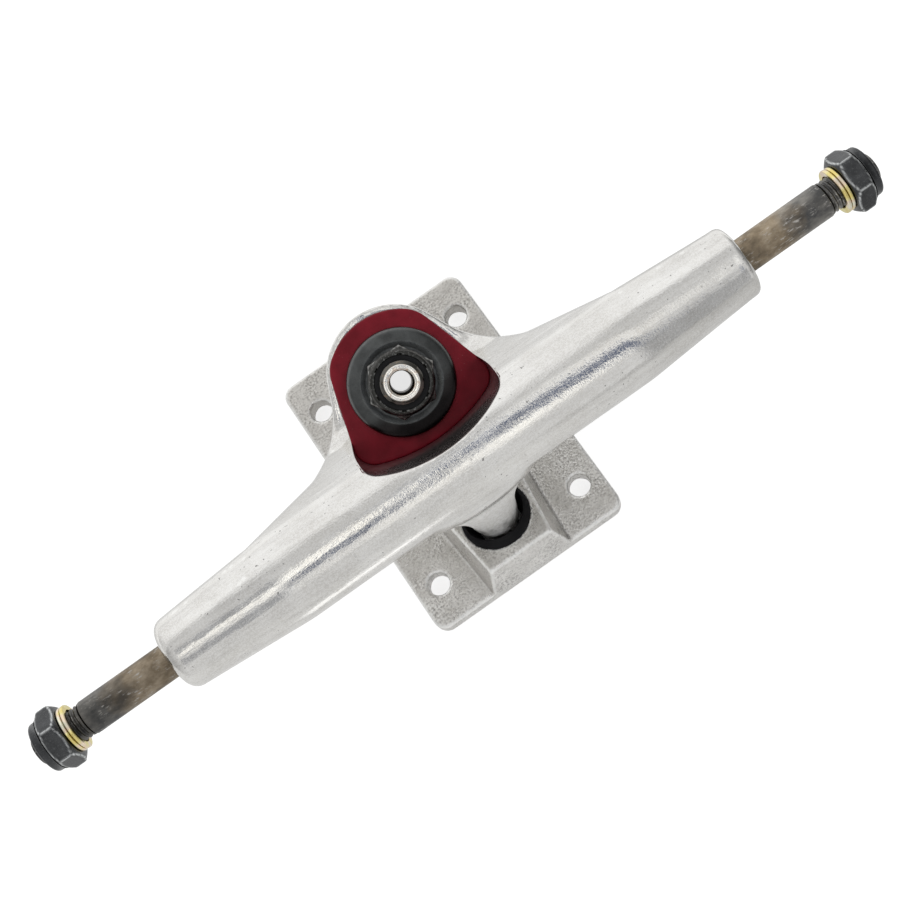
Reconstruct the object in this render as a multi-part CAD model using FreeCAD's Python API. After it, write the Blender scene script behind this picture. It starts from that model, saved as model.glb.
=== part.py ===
import FreeCAD, Part
import math
import os

# Skateboard truck, standing on the face that bolts to the deck.
# Origin: centre of the four deck bolts on that face. X runs along the axle, Y from the pivot
# towards the kingpin, Z away from the deck. Lengths are millimetres.

# Deck plate
plate_width = 53.6
plate_length = 74.6
plate_thickness = 5.0
plate_corner_radius = 3.2
plate_edge_round = 0.6
bolt_spacing_across = 41.275
bolt_spacing_along = 53.975
bolt_hole_diameter = 5.4
bolt_hole_chamfer = 0.35

# Kingpin, measured along its own axis from the plane of the plate's underside
kingpin_lean = 21.6  # degrees towards the pivot
kingpin_from_pivot = 48.4  # along the plate's underside
kingpin_diameter = 9.525
kingpin_bore = 5.2
kingpin_bore_chamfer = 0.4
kingpin_end_chamfer = 0.7
kingpin_tail = 2.3  # thread left showing past the nut
kingpin_head_across_flats = 14.29
kingpin_head_height = 5.6
kingpin_head_start = 3.9

# Stack on the kingpin, from the plate's boss outwards
boss_height = 14.6
bottom_washer_radius = 13.2
bottom_washer_thickness = 1.4
bottom_washer_lip_height = 1.8
bottom_washer_lip_thickness = 1.0
bottom_bushing_radius = 12.0
bottom_bushing_height = 13.2
bottom_bushing_waist = 0.7  # how far the barrel narrows at its ends
ring_floor_thickness = 6.8
lower_seat_depth = 3.2
top_bushing_height = 12.0
top_bushing_reach = 15.95  # from the kingpin's axis to the edge away from the axle
top_bushing_bevel = 1.1
crown_height = 1.5
cup_washer_radius = 12.3
cup_washer_thickness = 1.6
cup_washer_flat_radius = 8.3
cup_washer_rim = 1.4
kingpin_nut_across_flats = 14.29
kingpin_nut_hex_height = 6.0
kingpin_nut_collar_height = 2.4
kingpin_nut_collar_radius = 7.0
nut_notch_radius = 0.6
nut_notch_depth = 0.5
nut_notch_circle = 5.85

# Pivot cup and the hanger's nose in it
pivot_from_plate_end = 12.2
pivot_z = 10.5
nose_radius = 5.4
nose_lean = 20.0  # degrees towards the kingpin
nose_length = 7.2  # from the ball's centre to the foot of the stem
nose_root_radius = 4.7  # where the nose leaves the ball, so that it can swing
stem_foot_radius = 6.2
pivot_cup_radius = 8.4
pivot_cup_wall = 1.9
pivot_cup_play_across = 1.85  # room for the stem's foot to swing as the truck steers
pivot_cup_play_along = 0.85
pivot_boss_slope = 10.7  # degrees, rising away from the kingpin
pivot_boss_rise = 5.4  # from the nose's centre to the top of the boss, square to that top
pivot_boss_foot_half = 12.1
pivot_boss_top_half = 8.6
pivot_boss_inner_foot_half = 14.6
pivot_boss_inner_top_half = 11.6
pivot_boss_front_draft = 1.9
pivot_boss_inner_reach = 13.5  # from the nose's centre towards the kingpin
pivot_boss_inner_slope_reach = 6.5
pivot_boss_edge_round = 0.8

# Kingpin boss and the spine that joins it to the pivot boss
kingpin_boss_radius = 12.4
kingpin_boss_foot_radius = 14.0
spine_half_width = 6.5
spine_top_half_width = 4.5
spine_height = 9.0

# Axle and the hanger's barrel round it
axle_from_pivot = 5.88  # along the plate
axle_z = 53.72
axle_length = 215.9
axle_thread_length = 12.45
axle_shoulder_chamfer = 0.35
axle_diameter = 7.938
axle_core_diameter = 8.3  # the thicker middle that the hanger is cast round
axle_thread_diameter = 7.55
axle_end_chamfer = 0.7
hanger_width = 147.0
barrel_radius = 10.35
barrel_end_radius = 8.3
barrel_straight_half = 44.0
barrel_end_round = 2.8

# Ring, neck and stem of the hanger
ring_wall = 1.8
ring_lower_radius = 15.6
upper_seat_depth = 5.0
neck_half_width = 49.0
neck_face_slope = 76.0  # degrees from the ring's plane
neck_hollow_radius = 6.0
kingpin_hole_radius = 7.0
stem_gusset_half_width = 25.0
stem_gusset_half_depth = 12.4
rib_half_thickness = 4.5

# Parts at each end of the axle
thread_showing = 2.6  # from the end of the wheel's seat to the first washer
speed_washer_radius = 5.35
speed_washer_thickness = 0.9
speed_washer_bore_radius = 4.05
axle_nut_across_flats = 12.7
axle_nut_hex_height = 4.7
axle_nut_collar_height = 2.0
axle_nut_collar_radius = 5.9

# Nylon rings in the nuts
insert_wall = 1.1
insert_height = 1.7
insert_recess = 0.3

# Outlines drawn as shares of one length of the same piece
same_spot_share = 0.01
upright_share = 0.9
heart_shoulder_shares = (0.745, 0.68)
heart_shoulder_round_share = 0.5
heart_corner_round_share = 0.29
seat_corner_shares = (1.15, -0.63)
seat_bottom_share = 0.925
crest_corner_shares = (1.185, -0.685)
crest_bottom_share = 1.03
flare_foot_share = 0.25
washer_rim_share = 0.45
washer_dome_middle_shares = (0.925, 0.62)
washer_dome_top_shares = (0.76, 1.05)
washer_dish_shares = (0.715, 1.0)
plan_shoulder_shares = (0.75, 0.563)
plan_waist_shares = (0.84, 0.375)
plan_sweep_shares = (1.09, -0.035)
plan_sweep_end_shares = (1.6, -0.375)
plan_tip_share = 0.94
neck_under_shares = (0.6, 0.7)
neck_front_share = 0.6
stem_start_share = 0.98
stem_middle_shares = (0.46, 0.6)
stem_middle_height_share = 0.55
stem_top_share = 0.6
rib_corner_shares = (0.55, 0.55)

# Clearances
snug = 0.02  # pieces of one body
running = 0.06  # a shaft, a nut or the nose that turns
face_gap = 0.08  # flat faces that could part
soft_gap = 0.35  # urethane beside the hanger
hex_gap = 0.3
nut_edge_chamfer = 1.1
overrun = 2.0

Vector = FreeCAD.Vector
ORIGIN = Vector(0, 0, 0)
X = Vector(1, 0, 0)
Y = Vector(0, 1, 0)
Z = Vector(0, 0, 1)

pivot_y = pivot_from_plate_end - plate_length / 2
kingpin_foot_y = pivot_y + kingpin_from_pivot
axle_y = pivot_y + axle_from_pivot

lean = math.radians(kingpin_lean)
KINGPIN_FOOT = Vector(0, kingpin_foot_y, 0)
ON_KINGPIN = FreeCAD.Placement(KINGPIN_FOOT, FreeCAD.Rotation(X, kingpin_lean))

# Heights along the kingpin that the stack gives
bottom_washer_top = boss_height + bottom_washer_thickness
bottom_bushing_top = bottom_washer_top + bottom_bushing_height
ring_floor_low = bottom_bushing_top + soft_gap
ring_low = ring_floor_low - lower_seat_depth
ring_floor_top = ring_floor_low + ring_floor_thickness
ring_rim = ring_floor_top + upper_seat_depth
top_bushing_low = ring_floor_top + soft_gap
top_bushing_top = top_bushing_low + top_bushing_height
cup_washer_low = top_bushing_top + face_gap
cup_washer_top = cup_washer_low + crown_height + cup_washer_thickness
kingpin_nut_low = cup_washer_top + face_gap
kingpin_nut_collar_low = kingpin_nut_low + kingpin_nut_hex_height
kingpin_nut_top = kingpin_nut_collar_low + kingpin_nut_collar_height
kingpin_end = kingpin_nut_top + kingpin_tail
kingpin_radius = kingpin_diameter / 2

# The steering axis runs from the nose's centre to the middle of the ring's floor
PIVOT = Vector(0, pivot_y, pivot_z)
RING_CENTRE = ON_KINGPIN.multVec(Vector(0, 0, (ring_floor_low + ring_floor_top) / 2))

AXLE = Vector(0, axle_y, axle_z)
axle_on_kingpin = ON_KINGPIN.inverse().multVec(AXLE)
axle_w = axle_on_kingpin.y
axle_s = axle_on_kingpin.z
axle_radius = axle_diameter / 2
axle_core_radius = axle_core_diameter / 2
axle_thread_radius = axle_thread_diameter / 2
hanger_half = hanger_width / 2
shoulder_x = axle_length / 2 - axle_thread_length
ring_reach = top_bushing_reach + soft_gap + ring_wall


def on_kingpin(shape):
    """A shape drawn with the kingpin as its upright, put where the kingpin leans."""
    shape.Placement = ON_KINGPIN.multiply(shape.Placement)
    return shape


def point(a, b, plane, at):
    """A point of a flat outline: plane xy lies at height at, yz at that x, xz at that y."""
    if plane == "xy":
        return Vector(a, b, at)
    if plane == "yz":
        return Vector(at, a, b)
    return Vector(a, at, b)


def rounded_wire(corners, plane="xy", at=0):
    """A closed wire through corners (a, b, radius), each corner turned by an arc of its radius."""
    count = len(corners)
    spots = [point(a, b, plane, at) for a, b, radius in corners]
    ends = []
    for i in range(count):
        here = spots[i]
        back = (spots[i - 1] - here).normalize()
        ahead = (spots[(i + 1) % count] - here).normalize()
        radius = corners[i][2]
        if radius == 0:
            ends.append((here, None, here))
            continue
        half = back.getAngle(ahead) / 2
        run = radius / math.tan(half)
        centre = here + (back + ahead).normalize() * (radius / math.sin(half))
        middle = centre + (here - centre).normalize() * radius
        ends.append((here + back * run, middle, here + ahead * run))
    edges = []
    for i in range(count):
        start, middle, end = ends[i]
        if middle is not None:
            edges.append(Part.Arc(start, middle, end).toShape())
        edges.append(Part.LineSegment(end, ends[(i + 1) % count][0]).toShape())
    return Part.Wire(edges)


def prism(wire, way):
    return Part.Face(wire).extrude(way)


def hexagon(across_flats, height, base, turn=0):
    """A hexagonal prism on Z from base, with a corner on X when turn is zero."""
    corner = across_flats / math.sqrt(3)
    angles = [math.radians(turn + 60 * i) for i in range(6)]
    spots = [Vector(corner * math.cos(a), corner * math.sin(a), base) for a in angles]
    return Part.Face(Part.makePolygon(spots + spots[:1])).extrude(Z * height)


def cylinder(radius, low, high):
    return Part.makeCylinder(radius, high - low, Z * low)


def cone(low_radius, high_radius, low, high):
    return Part.makeCone(low_radius, high_radius, high - low, Z * low)


def turned(profile):
    """A solid turned about Z from a closed outline of (radius, height) points."""
    spots = [Vector(radius, 0, height) for radius, height in profile]
    face = Part.Face(Part.makePolygon(spots + spots[:1]))
    return face.revolve(ORIGIN, Z, 360)


def upright_edges(solid):
    return [e for e in solid.Edges if abs(e.tangentAt(e.FirstParameter).z) > upright_share]


def heart_wire(reach, height, corner_shares, bottom_share):
    """The rounded triangle of the top bushing and its seat, drawn round the kingpin's axis."""
    shoulder_across, shoulder_along = heart_shoulder_shares
    shoulder = Vector(shoulder_across * reach, shoulder_along * reach, height)
    corner = Vector(corner_shares[0] * reach, corner_shares[1] * reach, height)
    top = Vector(0, reach, height)
    bottom = Vector(0, -bottom_share * reach, height)
    left_shoulder = Vector(-shoulder.x, shoulder.y, height)
    left_corner = Vector(-corner.x, corner.y, height)
    edges = [
        Part.Arc(left_shoulder, top, shoulder).toShape(),
        Part.LineSegment(shoulder, corner).toShape(),
        Part.Arc(corner, bottom, left_corner).toShape(),
        Part.LineSegment(left_corner, left_shoulder).toShape(),
    ]
    sheet = Part.Face(Part.Wire(edges)).extrude(Z * reach)
    corners = [e for e in upright_edges(sheet) if e.Vertexes[0].Y < 0]
    sheet = sheet.makeFillet(heart_corner_round_share * reach, corners)
    near = same_spot_share * reach
    shoulders = [
        e
        for e in upright_edges(sheet)
        if abs(e.Vertexes[0].Y - shoulder.y) < near
        and abs(abs(e.Vertexes[0].X) - shoulder.x) < near
    ]
    sheet = sheet.makeFillet(heart_shoulder_round_share * reach, shoulders)
    face = min(sheet.Faces, key=lambda f: f.CenterOfMass.z)
    return face.OuterWire


def baseplate():
    half_width = plate_width / 2
    half_length = plate_length / 2
    corners = [
        (half_width, half_length, plate_corner_radius),
        (-half_width, half_length, plate_corner_radius),
        (-half_width, -half_length, plate_corner_radius),
        (half_width, -half_length, plate_corner_radius),
    ]
    plate = prism(rounded_wire(corners), Z * plate_thickness)
    top_edges = [e for e in plate.Edges if e.BoundBox.ZMin > plate_thickness - plate_edge_round]
    plate = plate.makeFillet(plate_edge_round, top_edges)
    body = plate.fuse([pivot_boss(), kingpin_boss(), spine()])
    outline = prism(rounded_wire(corners), Z * (2 * boss_height + pivot_z))
    body = body.common(outline)
    body = body.cut(pivot_cup_seat())
    shaft = cylinder(kingpin_radius + snug, 0, boss_height + overrun)
    head_flats = kingpin_head_across_flats + hex_gap
    head_seat = kingpin_head_start + kingpin_head_height + snug
    head = hexagon(head_flats, head_seat + half_width, -half_width)
    body = body.cut([on_kingpin(shaft), on_kingpin(head)])
    holes = []
    for side in (-1, 1):
        for end in (-1, 1):
            place = Vector(side * bolt_spacing_across / 2, end * bolt_spacing_along / 2, -overrun)
            depth = plate_thickness + 2 * overrun
            holes.append(Part.makeCylinder(bolt_hole_diameter / 2, depth, place))
            place.z = plate_thickness - bolt_hole_chamfer
            rim = bolt_hole_diameter / 2 + bolt_hole_chamfer
            holes.append(Part.makeCone(bolt_hole_diameter / 2, rim, bolt_hole_chamfer, place))
    return body.cut(holes).removeSplitter()


def boss_top_height(y):
    """Height of the pivot boss's sloped top at y."""
    slope = math.radians(pivot_boss_slope)
    rise = pivot_boss_rise
    run = y - pivot_y - rise * math.sin(slope)
    return pivot_z + rise * math.cos(slope) - run * math.tan(slope)


def pivot_boss():
    """The raised block that holds the pivot cup, narrower towards its top and its outer end."""
    plate_front = -plate_length / 2
    front_top = plate_front + pivot_boss_front_draft
    inner = pivot_y + pivot_boss_inner_reach
    inner_foot = inner + pivot_boss_inner_slope_reach
    front_height = boss_top_height(front_top)
    front_foot = plate_front - pivot_boss_front_draft * plate_thickness / (front_height - plate_thickness)
    low = Part.makePolygon(
        [
            Vector(-pivot_boss_foot_half, front_foot, 0),
            Vector(pivot_boss_foot_half, front_foot, 0),
            Vector(pivot_boss_inner_foot_half, inner_foot, 0),
            Vector(-pivot_boss_inner_foot_half, inner_foot, 0),
            Vector(-pivot_boss_foot_half, front_foot, 0),
        ]
    )
    inner_height = boss_top_height(inner)
    high = Part.makePolygon(
        [
            Vector(-pivot_boss_top_half, front_top, front_height),
            Vector(pivot_boss_top_half, front_top, front_height),
            Vector(pivot_boss_inner_top_half, inner, inner_height),
            Vector(-pivot_boss_inner_top_half, inner, inner_height),
            Vector(-pivot_boss_top_half, front_top, front_height),
        ]
    )
    block = Part.makeLoft([low, high], True, True)
    raised = [e for e in block.Edges if max(v.Z for v in e.Vertexes) > plate_thickness]
    return block.makeFillet(pivot_boss_edge_round, raised)


def kingpin_boss():
    block = cone(kingpin_boss_foot_radius, kingpin_boss_radius, 0, boss_height)
    skirt = cylinder(kingpin_boss_foot_radius, -kingpin_boss_foot_radius, 0)
    return on_kingpin(block.fuse(skirt))


def spine():
    """The low ridge between the two bosses."""
    corners = [
        (-spine_half_width, 0, 0),
        (spine_half_width, 0, 0),
        (spine_top_half_width, spine_height, 0),
        (-spine_top_half_width, spine_height, 0),
    ]
    wire = rounded_wire(corners, "xz", pivot_y)
    return prism(wire, Y * (kingpin_foot_y - pivot_y))


def cup_placement():
    return FreeCAD.Placement(PIVOT, FreeCAD.Rotation(X, -pivot_boss_slope))


def nose_placement():
    return FreeCAD.Placement(PIVOT, FreeCAD.Rotation(X, -nose_lean))


def pivot_cup_seat():
    depth = nose_radius + running + pivot_cup_wall + snug
    seat = cylinder(pivot_cup_radius + snug, -depth, pivot_boss_rise + 2 * nose_radius)
    seat.Placement = cup_placement()
    return seat


def pivot_cup():
    """A cup with a ball-shaped floor, opening along the nose with room for it to swing."""
    cavity_radius = nose_radius + running
    body = cylinder(pivot_cup_radius, -cavity_radius - pivot_cup_wall, pivot_boss_rise)
    body.Placement = cup_placement()
    foot = Part.Wire(Part.Circle(ORIGIN, Z, cavity_radius).toShape())
    mouth_along = stem_foot_radius + pivot_cup_play_along
    mouth_across = stem_foot_radius + pivot_cup_play_across
    oval = Part.Ellipse(ORIGIN, mouth_across, mouth_along)
    mouth = Part.Wire(oval.toShape())
    mouth.Placement = FreeCAD.Placement(Z * nose_length, FreeCAD.Rotation())
    way_out = Part.makeLoft([foot, mouth], True, True)
    way_out.Placement = nose_placement()
    return body.cut([Part.makeSphere(cavity_radius, PIVOT), way_out])


def kingpin():
    head_top = kingpin_head_start + kingpin_head_height
    head = hexagon(kingpin_head_across_flats, kingpin_head_height, kingpin_head_start)
    shaft = cylinder(kingpin_radius, kingpin_head_start, kingpin_end - kingpin_end_chamfer)
    tip_radius = kingpin_radius - kingpin_end_chamfer
    tip = cone(kingpin_radius, tip_radius, kingpin_end - kingpin_end_chamfer, kingpin_end)
    bore_radius = kingpin_bore / 2
    bore = cylinder(bore_radius, kingpin_head_start - overrun, kingpin_end + overrun)
    mouth_low = kingpin_end - kingpin_bore_chamfer
    mouth = cone(bore_radius, bore_radius + kingpin_bore_chamfer, mouth_low, kingpin_end)
    return on_kingpin(head.fuse([shaft, tip]).cut([bore, mouth]).removeSplitter())


def bottom_washer():
    lip_inner = bottom_washer_radius - bottom_washer_lip_thickness
    profile = [
        (kingpin_radius + running, boss_height),
        (bottom_washer_radius, boss_height),
        (bottom_washer_radius, bottom_washer_top + bottom_washer_lip_height),
        (lip_inner, bottom_washer_top + bottom_washer_lip_height),
        (lip_inner, bottom_washer_top),
        (kingpin_radius + running, bottom_washer_top),
    ]
    return on_kingpin(turned(profile))


def bottom_bushing():
    """A barrel: full at its middle, drawn in towards both ends."""
    end_radius = bottom_bushing_radius - bottom_bushing_waist
    low = bottom_washer_top
    high = bottom_bushing_top
    bore = kingpin_radius + running
    bulge = Part.Arc(
        Vector(end_radius, 0, low),
        Vector(bottom_bushing_radius, 0, (low + high) / 2),
        Vector(end_radius, 0, high),
    )
    edges = [
        bulge.toShape(),
        Part.LineSegment(Vector(end_radius, 0, high), Vector(bore, 0, high)).toShape(),
        Part.LineSegment(Vector(bore, 0, high), Vector(bore, 0, low)).toShape(),
        Part.LineSegment(Vector(bore, 0, low), Vector(end_radius, 0, low)).toShape(),
    ]
    return on_kingpin(Part.Face(Part.Wire(edges)).revolve(ORIGIN, Z, 360))


def top_bushing():
    """The heart-shaped bushing, with a bevelled edge and a crown that fills the cup washer."""
    bevel_low = top_bushing_top - top_bushing_bevel
    foot = heart_wire(top_bushing_reach, top_bushing_low, seat_corner_shares, seat_bottom_share)
    body = prism(foot, Z * (bevel_low - top_bushing_low))
    edge = heart_wire(top_bushing_reach, bevel_low, seat_corner_shares, seat_bottom_share)
    top_reach = top_bushing_reach - top_bushing_bevel
    top = heart_wire(top_reach, top_bushing_top, seat_corner_shares, seat_bottom_share)
    body = body.fuse(Part.makeLoft([edge, top], True, True))
    crown_foot = cup_washer_radius - cup_washer_rim - face_gap
    crown_top = cup_washer_flat_radius - face_gap
    crown = cone(crown_foot, crown_top, top_bushing_top, top_bushing_top + crown_height)
    body = body.fuse(crown)
    bore = cylinder(kingpin_radius + running, top_bushing_low - overrun, cup_washer_top)
    return on_kingpin(body.cut(bore).removeSplitter())


def top_washer():
    """The domed cup washer that presses on the top bushing, dished a little where the nut sits."""
    bore = kingpin_radius + running
    low = cup_washer_low
    ceiling = low + crown_height
    edge_top = low + washer_rim_share * cup_washer_thickness
    height = cup_washer_top - low

    def spot(shares):
        return Vector(shares[0] * cup_washer_radius, 0, low + shares[1] * height)

    outer = Vector(cup_washer_radius, 0, edge_top)
    dome = spot(washer_dome_middle_shares)
    crest = spot(washer_dome_top_shares)
    dish = spot(washer_dish_shares)
    dish_end = Vector(bore, 0, dish.z)
    corners = [
        dish_end,
        Vector(bore, 0, ceiling),
        Vector(cup_washer_flat_radius, 0, ceiling),
        Vector(cup_washer_radius - cup_washer_rim, 0, low),
        Vector(cup_washer_radius, 0, low),
        outer,
    ]
    edges = [Part.LineSegment(a, b).toShape() for a, b in zip(corners, corners[1:])]
    edges.append(Part.Arc(outer, dome, crest).toShape())
    edges.append(Part.LineSegment(crest, dish).toShape())
    edges.append(Part.LineSegment(dish, dish_end).toShape())
    return on_kingpin(Part.Face(Part.Wire(edges)).revolve(ORIGIN, Z, 360))


def lock_nut(flats, hex_height, collar_radius, collar_height, bore, low):
    """A hexagon with a round collar above it that holds a nylon ring, both drawn up Z from low."""
    high = low + hex_height
    narrow = flats / math.sqrt(3) - nut_edge_chamfer
    wide = narrow + nut_edge_chamfer + hex_height
    rise = nut_edge_chamfer + hex_height
    body = hexagon(flats, hex_height, low)
    body = body.common(cone(narrow, wide, low, low + rise))
    body = body.common(cone(wide, narrow, high - rise, high))
    collar_top = high + collar_height
    neck = cylinder(collar_radius, high - overrun, collar_top)
    brim = [e for e in neck.Edges if e.BoundBox.ZMin > high]
    neck = neck.makeFillet(nut_edge_chamfer / 2, brim)
    room_low = collar_top - insert_recess - insert_height
    room = cylinder(bore + insert_wall + snug, room_low, collar_top + overrun)
    hole = cylinder(bore, low - overrun, collar_top + overrun)
    return body.fuse(neck).cut([hole, room]).removeSplitter()


def nut_insert(bore, high):
    """The nylon ring in a lock nut's collar, whose top is at high."""
    top = high - insert_recess
    ring = cylinder(bore + insert_wall, top - insert_height + snug, top)
    return ring.cut(cylinder(bore, top - insert_height - overrun, top + overrun))


def kingpin_nut():
    body = lock_nut(
        kingpin_nut_across_flats,
        kingpin_nut_hex_height,
        kingpin_nut_collar_radius,
        kingpin_nut_collar_height,
        kingpin_radius + running,
        kingpin_nut_low,
    )
    notches = []
    for i in range(6):
        angle = math.radians(60 * i)
        spot = Vector(math.cos(angle), math.sin(angle), 0) * nut_notch_circle
        spot.z = kingpin_nut_top - nut_notch_depth
        notches.append(Part.makeCylinder(nut_notch_radius, nut_notch_depth + overrun, spot))
    return on_kingpin(body.cut(notches))


def kingpin_nut_insert():
    return on_kingpin(nut_insert(kingpin_radius + running, kingpin_nut_top))


def axle():
    thread_length = axle_length / 2 - shoulder_x - axle_end_chamfer
    middle = Part.makeCylinder(axle_core_radius, 2 * hanger_half, AXLE - X * hanger_half, X)
    ends = []
    seat_end = shoulder_x - axle_shoulder_chamfer
    for side in (-1, 1):
        way = X * side
        ends.append(Part.makeCylinder(axle_radius, seat_end, AXLE, way))
        step = axle_radius - axle_shoulder_chamfer
        slope = Part.makeCone(axle_radius, step, axle_shoulder_chamfer, AXLE + way * seat_end, way)
        ends.append(slope)
        start = AXLE + way * shoulder_x
        ends.append(Part.makeCylinder(axle_thread_radius, thread_length, start, way))
        tip = start + way * thread_length
        tip_radius = axle_thread_radius - axle_end_chamfer
        ends.append(Part.makeCone(axle_thread_radius, tip_radius, axle_end_chamfer, tip, way))
    return middle.fuse(ends).removeSplitter()


def barrel():
    """The tapered tube of the hanger that the axle lies in, with rounded ends."""
    corners = [
        (-hanger_half, 0, 0),
        (-hanger_half, barrel_end_radius, barrel_end_round),
        (-barrel_straight_half, barrel_radius, barrel_straight_half),
        (barrel_straight_half, barrel_radius, barrel_straight_half),
        (hanger_half, barrel_end_radius, barrel_end_round),
        (hanger_half, 0, 0),
    ]
    face = Part.Face(rounded_wire(corners, "xz", 0))
    solid = face.revolve(ORIGIN, X, 360)
    solid.Placement = FreeCAD.Placement(AXLE, FreeCAD.Rotation())
    return solid


def plan_outline():
    """The ring and neck seen along the kingpin: a round ring that sweeps out to the barrel."""
    tip_w = axle_w + plan_tip_share * barrel_radius
    shares = (plan_shoulder_shares, plan_waist_shares, plan_sweep_shares, plan_sweep_end_shares)
    edges = []
    right = [Vector(a * ring_reach, b * ring_reach, 0) for a, b in shares]
    left = [Vector(-p.x, p.y, 0) for p in right]
    tip = Vector(neck_half_width, tip_w, 0)
    low_tip = Vector(neck_half_width, axle_w, 0)
    left_tip = Vector(-tip.x, tip.y, 0)
    left_low_tip = Vector(-low_tip.x, low_tip.y, 0)
    edges.append(Part.Arc(left[0], Vector(0, ring_reach, 0), right[0]).toShape())
    edges.append(Part.LineSegment(right[0], right[1]).toShape())
    edges.append(Part.Arc(right[1], right[2], right[3]).toShape())
    edges.append(Part.LineSegment(right[3], tip).toShape())
    edges.append(Part.LineSegment(tip, low_tip).toShape())
    edges.append(Part.LineSegment(low_tip, left_low_tip).toShape())
    edges.append(Part.LineSegment(left_low_tip, left_tip).toShape())
    edges.append(Part.LineSegment(left_tip, left[3]).toShape())
    edges.append(Part.Arc(left[3], left[2], left[1]).toShape())
    edges.append(Part.LineSegment(left[1], left[0]).toShape())
    return Part.Wire(edges)


def neck_side_wire(at):
    """The ring and neck seen along the axle: the ring's edge, then a steep face up to the barrel."""
    slope = math.radians(neck_face_slope)
    touch_w = axle_w + barrel_radius * math.sin(slope)
    touch_s = axle_s + barrel_radius * math.cos(slope)
    foot_w = touch_w + (touch_s - ring_rim) / math.tan(slope)
    under_w = axle_w - neck_under_shares[0] * barrel_radius
    under_s = axle_s - neck_under_shares[1] * barrel_radius
    corners = [
        (ring_reach + overrun, ring_low, 0),
        (ring_reach + overrun, ring_rim, 0),
        (foot_w, ring_rim, neck_hollow_radius),
        (touch_w, touch_s, 0),
        (axle_w, axle_s, 0),
        (under_w, under_s, 0),
        (-ring_lower_radius - ring_wall, (ring_low + under_s) / 2, 0),
        (-ring_lower_radius, ring_low, 0),
    ]
    return rounded_wire(corners, "yz", at)


def neck_front_wire(at):
    """The ring and neck seen from the far side of the ring: it narrows below the barrel."""
    high = axle_s + barrel_radius
    low = axle_s - neck_front_share * barrel_radius
    corners = [
        (-ring_reach, ring_low, 0),
        (ring_reach, ring_low, 0),
        (ring_reach + ring_wall, ring_rim, ring_reach),
        (neck_half_width, low, 0),
        (neck_half_width, high, 0),
        (-neck_half_width, high, 0),
        (-neck_half_width, low, 0),
        (-ring_reach - ring_wall, ring_rim, ring_reach),
    ]
    return rounded_wire(corners, "xz", at)


def ring_and_neck():
    plan = prism(plan_outline(), Z * (axle_s + barrel_radius))
    side = prism(neck_side_wire(-neck_half_width - overrun), X * (2 * (neck_half_width + overrun)))
    back = axle_w - barrel_radius
    front = prism(neck_front_wire(back), Y * (ring_reach + overrun - back))
    return on_kingpin(plan.common(side).common(front))


def stem():
    """The stem from the barrel to the nose in the pivot cup, flared into a gusset at the barrel."""
    nose = Part.makeSphere(nose_radius)
    shank = cone(nose_root_radius, stem_foot_radius, 0, nose_length)
    heel = Part.makeSphere(stem_foot_radius, Z * nose_length)
    lower = nose.fuse([shank, heel])
    lower.Placement = nose_placement()
    foot = nose_placement().multVec(Z * nose_length)
    way = AXLE - foot
    length = way.Length
    top = length - stem_top_share * barrel_radius
    across, along = stem_middle_shares
    start = stem_start_share * stem_foot_radius
    ovals = [
        (start, start, 0),
        (across * stem_gusset_half_width, along * stem_gusset_half_depth, stem_middle_height_share * top),
        (stem_gusset_half_width, stem_gusset_half_depth, top),
    ]
    sections = []
    for half_width, half_depth, height in ovals:
        if half_width == half_depth:
            wire = Part.Wire(Part.Circle(ORIGIN, Z, half_width).toShape())
        else:
            wire = Part.Wire(Part.Ellipse(ORIGIN, half_width, half_depth).toShape())
        wire.Placement = FreeCAD.Placement(Z * height, FreeCAD.Rotation())
        sections.append(wire)
    flare = Part.makeLoft(sections, True, False)
    flare.Placement = FreeCAD.Placement(foot, FreeCAD.Rotation(Z, way))
    return lower.fuse(flare)


def rib():
    """The web under the neck that ties the ring to the stem."""
    nose_w = ON_KINGPIN.inverse().multVec(PIVOT).y
    rib_across, rib_down = rib_corner_shares
    corners = [
        (-ring_lower_radius + overrun, ring_low, 0),
        (axle_w + rib_across * (nose_w - axle_w), axle_s - rib_down * (axle_s - ring_low), 0),
        (axle_w, axle_s, 0),
        (-ring_lower_radius + overrun, ring_rim, 0),
    ]
    wire = rounded_wire(corners, "yz", -rib_half_thickness)
    return on_kingpin(prism(wire, X * (2 * rib_half_thickness)))


def hanger():
    body = barrel().fuse([ring_and_neck(), stem(), rib()])
    seat_reach = top_bushing_reach + soft_gap
    crest = axle_s + barrel_radius
    flare_low = axle_s + flare_foot_share * axle_radius
    seat = heart_wire(seat_reach, ring_floor_top, seat_corner_shares, seat_bottom_share)
    upper = prism(seat, Z * (flare_low - ring_floor_top))
    low_wire = heart_wire(seat_reach, flare_low, seat_corner_shares, seat_bottom_share)
    high_wire = heart_wire(seat_reach, crest, crest_corner_shares, crest_bottom_share)
    flare = Part.makeLoft([low_wire, high_wire], True, True)
    lower_radius = bottom_bushing_radius + soft_gap
    lower = cylinder(lower_radius, ring_low - overrun, ring_floor_low)
    hole = cylinder(kingpin_hole_radius, ring_low - overrun, ring_rim)
    tools = [on_kingpin(s) for s in (upper, flare, lower, hole)]
    start = AXLE - X * (hanger_half + overrun)
    tools.append(Part.makeCylinder(axle_core_radius + snug, 2 * (hanger_half + overrun), start, X))
    return body.cut(tools).removeSplitter()


def at_axle_end(shape, side):
    """A shape drawn up Z from the hanger's middle, laid along the axle on one side."""
    shape.Placement = FreeCAD.Placement(AXLE, FreeCAD.Rotation(Z, X * side))
    return shape


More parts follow.
